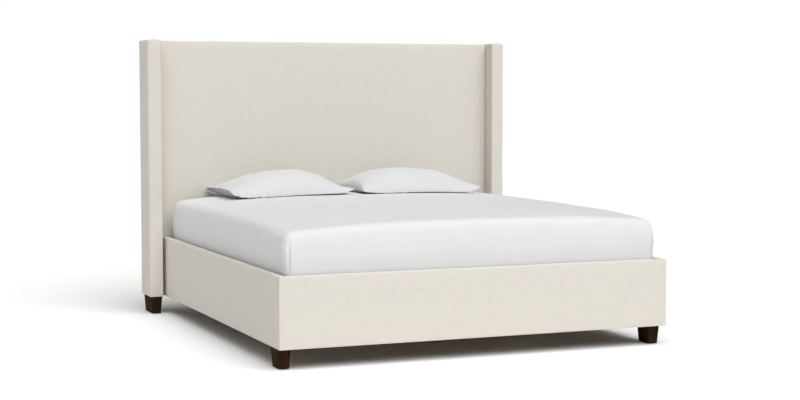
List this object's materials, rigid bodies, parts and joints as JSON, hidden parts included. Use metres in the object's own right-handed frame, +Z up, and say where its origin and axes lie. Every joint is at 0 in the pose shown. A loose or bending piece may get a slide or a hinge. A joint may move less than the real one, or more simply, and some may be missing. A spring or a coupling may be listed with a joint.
{
  "type": "upholstered bed",
  "caption": "King bed with a tall winged upholstered headboard, padded low rails, tapered dark wood legs, a slatted deck, a mattress in a fitted sheet and sleeping pillows.",
  "frame": {"origin": "on the floor, under the centre of the bed's bounding box", "axes": "+Y from the foot to the headboard, +X to the right of someone facing the bed from its foot, +Z up"},
  "size_m": [2.214, 2.256, 1.548],
  "materials": {
    "upholstery": "fine slubbed linen-look weave, matt",
    "back_cloth": "plain woven backing cloth, matt",
    "foam": "open-cell foam, matt",
    "frame_wood": "planed hardwood, unfinished",
    "plywood": "birch plywood, unfinished",
    "slat_wood": "planed pine, unfinished",
    "leg_wood": "dark espresso stain under satin lacquer",
    "glide_nylon": "black nylon",
    "steel": "zinc-plated steel",
    "bracket_steel": "black powder-coated steel",
    "ticking": "knitted mattress ticking",
    "sheet_cotton": "white cotton percale",
    "pillow_cotton": "white cotton percale"
  },
  "bodies": {
    "bed_frame": {"headboard_top_rail": "frame_wood", "headboard_bottom_rail": "frame_wood", "headboard_left_stile": "frame_wood", "headboard_center_stile": "frame_wood", "headboard_right_stile": "frame_wood", "headboard_front_board": "plywood", "headboard_mounting_rail": "frame_wood", "headboard_foam": "foam", "headboard_front_cover": "upholstery", "headboard_back_cover": "back_cloth", "left_wing_core": "frame_wood", "left_wing_foam": "foam", "left_wing_cover": "upholstery", "right_wing_core": "frame_wood", "right_wing_foam": "foam", "right_wing_cover": "upholstery", "wing_bolts": "steel", "left_side_rail_board": "frame_wood", "left_side_rail_foam": "foam", "left_side_rail_cover": "upholstery", "right_side_rail_board": "frame_wood", "right_side_rail_foam": "foam", "right_side_rail_cover": "upholstery", "footboard_board": "frame_wood", "footboard_foam": "foam", "footboard_cover": "upholstery", "corner_brackets": "bracket_steel", "bracket_bolts": "steel", "beam_hangers": "bracket_steel", "hanger_screws": "steel", "left_slat_ledger": "frame_wood", "right_slat_ledger": "frame_wood", "center_beam": "frame_wood", "slat_01": "slat_wood", "slat_02": "slat_wood", "slat_03": "slat_wood", "slat_04": "slat_wood", "slat_05": "slat_wood", "slat_06": "slat_wood", "slat_07": "slat_wood", "slat_08": "slat_wood", "slat_09": "slat_wood", "slat_10": "slat_wood", "slat_11": "slat_wood", "slat_screws": "steel", "front_left_leg": "leg_wood", "front_right_leg": "leg_wood", "rear_left_leg": "leg_wood", "rear_right_leg": "leg_wood", "leg_bolts": "steel", "leg_glides": "glide_nylon", "front_leg_blocks": "frame_wood", "front_center_leg": "frame_wood", "rear_center_leg": "frame_wood"},
    "front_leveller": {"front_leveller": "steel"},
    "rear_leveller": {"rear_leveller": "steel"},
    "mattress": {"mattress": "ticking", "fitted_sheet": "sheet_cotton"},
    "left_pillow": {"left_pillow": "pillow_cotton"},
    "right_pillow": {"right_pillow": "pillow_cotton"}
  },
  "joints": [
    {"name": "mattress_lift", "type": "slide", "parent": "bed_frame", "child": "mattress", "axis": [0, 0, 1], "range_m": [0, 0.35]},
    {"name": "left_pillow_lift", "type": "slide", "parent": "mattress", "child": "left_pillow", "axis": [0, 0, 1], "range_m": [0, 0.25]},
    {"name": "right_pillow_lift", "type": "slide", "parent": "mattress", "child": "right_pillow", "axis": [0, 0, 1], "range_m": [0, 0.25]},
    {"name": "front_leveller_screw", "type": "slide", "parent": "bed_frame", "child": "front_leveller", "axis": [0, 0, -1], "range_m": [0, 0.012]},
    {"name": "rear_leveller_screw", "type": "slide", "parent": "bed_frame", "child": "rear_leveller", "axis": [0, 0, -1], "range_m": [0, 0.012]}
  ]
}
